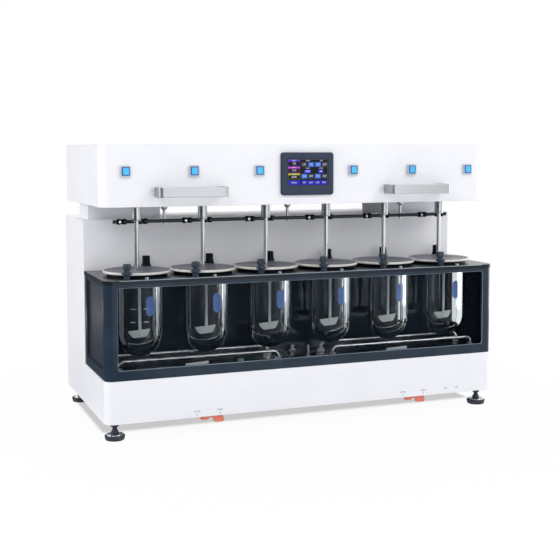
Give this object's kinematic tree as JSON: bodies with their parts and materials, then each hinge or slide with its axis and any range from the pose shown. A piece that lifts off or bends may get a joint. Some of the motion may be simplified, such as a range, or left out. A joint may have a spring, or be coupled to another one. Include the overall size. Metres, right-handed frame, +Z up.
{
  "type": "water bath dissolution tester",
  "caption": "Bench dissolution tester: stirred round-bottom glass vessels hang in a heated water bath under a lifting drive head with touch panel, start buttons, handles and drain levers.",
  "frame": {"origin": "floor level under the middle of the overall box", "axes": "+X to the viewer's right along the row of vessels, +Y towards the back, +Z up"},
  "size_m": [1.03, 0.482, 0.686],
  "materials": {
    "white_paint": "satin",
    "plain_sheet": "satin",
    "black_acrylic": "gloss",
    "smoked_acrylic": "clear, lightly smoked",
    "black_plastic": "satin",
    "vessel_glass": "clear",
    "slate_plastic": "satin",
    "stainless": "brushed",
    "white_plastic": "satin",
    "green_plastic": "satin",
    "valve_brass": "plain",
    "foot_rubber": "matte",
    "motor_housing": "cast",
    "screen_face": "gloss",
    "bezel_grey": "satin",
    "rail_coating": "satin dark coating",
    "lid_acrylic": "gloss with polished rim",
    "button_lens": "gloss",
    "lever_vinyl": "dipped"
  },
  "bodies": {
    "base": {"base_casing": "white_paint", "tower_casing": "white_paint", "bottom_plate": "plain_sheet", "bath_frame": "black_acrylic", "bath_windows": "smoked_acrylic", "bath_cover": "black_acrylic", "vessel_rings": "black_plastic", "vessels": "vessel_glass", "cover_knobs": "slate_plastic", "cover_screws": "stainless", "heater_rods": "stainless", "heater_glands": "stainless", "bath_probe": "stainless", "circulation_nozzles": "white_plastic", "drain_strainers": "green_plastic", "drain_valves": "valve_brass", "foot_pads": "foot_rubber", "foot_stems": "slate_plastic", "column_guides": "black_plastic", "lift_actuators": "motor_housing", "power_inlet": "black_plastic", "switch_housing": "white_plastic"},
    "head": {"head_cover": "white_paint", "head_plate": "plain_sheet", "lift_columns": "white_paint", "handles": "stainless", "panel_bezel": "slate_plastic", "panel_screen": "screen_face", "button_bezels": "bezel_grey", "sampling_rail": "rail_coating", "rail_hangers": "stainless", "rail_clamps": "black_plastic", "spindle_motors": "motor_housing"},
    "spindle_1": {"chuck_1": "stainless", "paddle_1": "stainless"},
    "lid_1": {"lid_1": "lid_acrylic"},
    "button_1": {"button_1": "button_lens"},
    "spindle_2": {"chuck_2": "stainless", "paddle_2": "stainless"},
    "lid_2": {"lid_2": "lid_acrylic"},
    "button_2": {"button_2": "button_lens"},
    "spindle_3": {"chuck_3": "stainless", "paddle_3": "stainless"},
    "lid_3": {"lid_3": "lid_acrylic"},
    "button_3": {"button_3": "button_lens"},
    "spindle_4": {"chuck_4": "stainless", "paddle_4": "stainless"},
    "lid_4": {"lid_4": "lid_acrylic"},
    "button_4": {"button_4": "button_lens"},
    "spindle_5": {"chuck_5": "stainless", "paddle_5": "stainless"},
    "lid_5": {"lid_5": "lid_acrylic"},
    "button_5": {"button_5": "button_lens"},
    "spindle_6": {"chuck_6": "stainless", "paddle_6": "stainless"},
    "lid_6": {"lid_6": "lid_acrylic"},
    "button_6": {"button_6": "button_lens"},
    "lever_left": {"drain_lever_left": "lever_vinyl"},
    "lever_right": {"drain_lever_right": "lever_vinyl"},
    "rocker": {"power_rocker": "white_plastic"}
  },
  "joints": [
    {"name": "head_lift", "type": "slide", "parent": "base", "child": "head", "axis": [0, 0, 1], "range_m": [0, 0.2]},
    {"name": "spindle_1_turn", "type": "hinge", "parent": "head", "child": "spindle_1", "pos_m": [-0.4125, -0.129, 0.45], "axis": [0, 0, 1], "continuous": true},
    {"name": "spindle_2_turn", "type": "hinge", "parent": "head", "child": "spindle_2", "pos_m": [-0.2475, -0.129, 0.45], "axis": [0, 0, 1], "continuous": true},
    {"name": "spindle_3_turn", "type": "hinge", "parent": "head", "child": "spindle_3", "pos_m": [-0.0825, -0.129, 0.45], "axis": [0, 0, 1], "continuous": true},
    {"name": "spindle_4_turn", "type": "hinge", "parent": "head", "child": "spindle_4", "pos_m": [0.0825, -0.129, 0.45], "axis": [0, 0, 1], "continuous": true},
    {"name": "spindle_5_turn", "type": "hinge", "parent": "head", "child": "spindle_5", "pos_m": [0.2475, -0.129, 0.45], "axis": [0, 0, 1], "continuous": true},
    {"name": "spindle_6_turn", "type": "hinge", "parent": "head", "child": "spindle_6", "pos_m": [0.4125, -0.129, 0.45], "axis": [0, 0, 1], "continuous": true},
    {"name": "lid_1_lift", "type": "slide", "parent": "head", "child": "lid_1", "axis": [0, 0, 1], "range_m": [0, 0.09]},
    {"name": "lid_2_lift", "type": "slide", "parent": "head", "child": "lid_2", "axis": [0, 0, 1], "range_m": [0, 0.09]},
    {"name": "lid_3_lift", "type": "slide", "parent": "head", "child": "lid_3", "axis": [0, 0, 1], "range_m": [0, 0.09]},
    {"name": "lid_4_lift", "type": "slide", "parent": "head", "child": "lid_4", "axis": [0, 0, 1], "range_m": [0, 0.09]},
    {"name": "lid_5_lift", "type": "slide", "parent": "head", "child": "lid_5", "axis": [0, 0, 1], "range_m": [0, 0.09]},
    {"name": "lid_6_lift", "type": "slide", "parent": "head", "child": "lid_6", "axis": [0, 0, 1], "range_m": [0, 0.09]},
    {"name": "button_1_press", "type": "slide", "parent": "head", "child": "button_1", "axis": [0, 1, 0], "range_m": [0, 0.0025], "stiffness_N_per_m": 400, "springref_m": -0.002},
    {"name": "button_2_press", "type": "slide", "parent": "head", "child": "button_2", "axis": [0, 1, 0], "range_m": [0, 0.0025], "stiffness_N_per_m": 400, "springref_m": -0.002},
    {"name": "button_3_press", "type": "slide", "parent": "head", "child": "button_3", "axis": [0, 1, 0], "range_m": [0, 0.0025], "stiffness_N_per_m": 400, "springref_m": -0.002},
    {"name": "button_4_press", "type": "slide", "parent": "head", "child": "button_4", "axis": [0, 1, 0], "range_m": [0, 0.0025], "stiffness_N_per_m": 400, "springref_m": -0.002},
    {"name": "button_5_press", "type": "slide", "parent": "head", "child": "button_5", "axis": [0, 1, 0], "range_m": [0, 0.0025], "stiffness_N_per_m": 400, "springref_m": -0.002},
    {"name": "button_6_press", "type": "slide", "parent": "head", "child": "button_6", "axis": [0, 1, 0], "range_m": [0, 0.0025], "stiffness_N_per_m": 400, "springref_m": -0.002},
    {"name": "drain_left_turn", "type": "hinge", "parent": "base", "child": "lever_left", "pos_m": [-0.274, -0.218, 0.035], "axis": [0, 0, -1], "range_deg": [0, 90]},
    {"name": "drain_right_turn", "type": "hinge", "parent": "base", "child": "lever_right", "pos_m": [0.274, -0.218, 0.035], "axis": [0, 0, -1], "range_deg": [0, 90]},
    {"name": "power_rock", "type": "hinge", "parent": "base", "child": "rocker", "pos_m": [0.392, -0.221, 0.043], "axis": [0, -1, 0], "range_deg": [0, 16]}
  ]
}
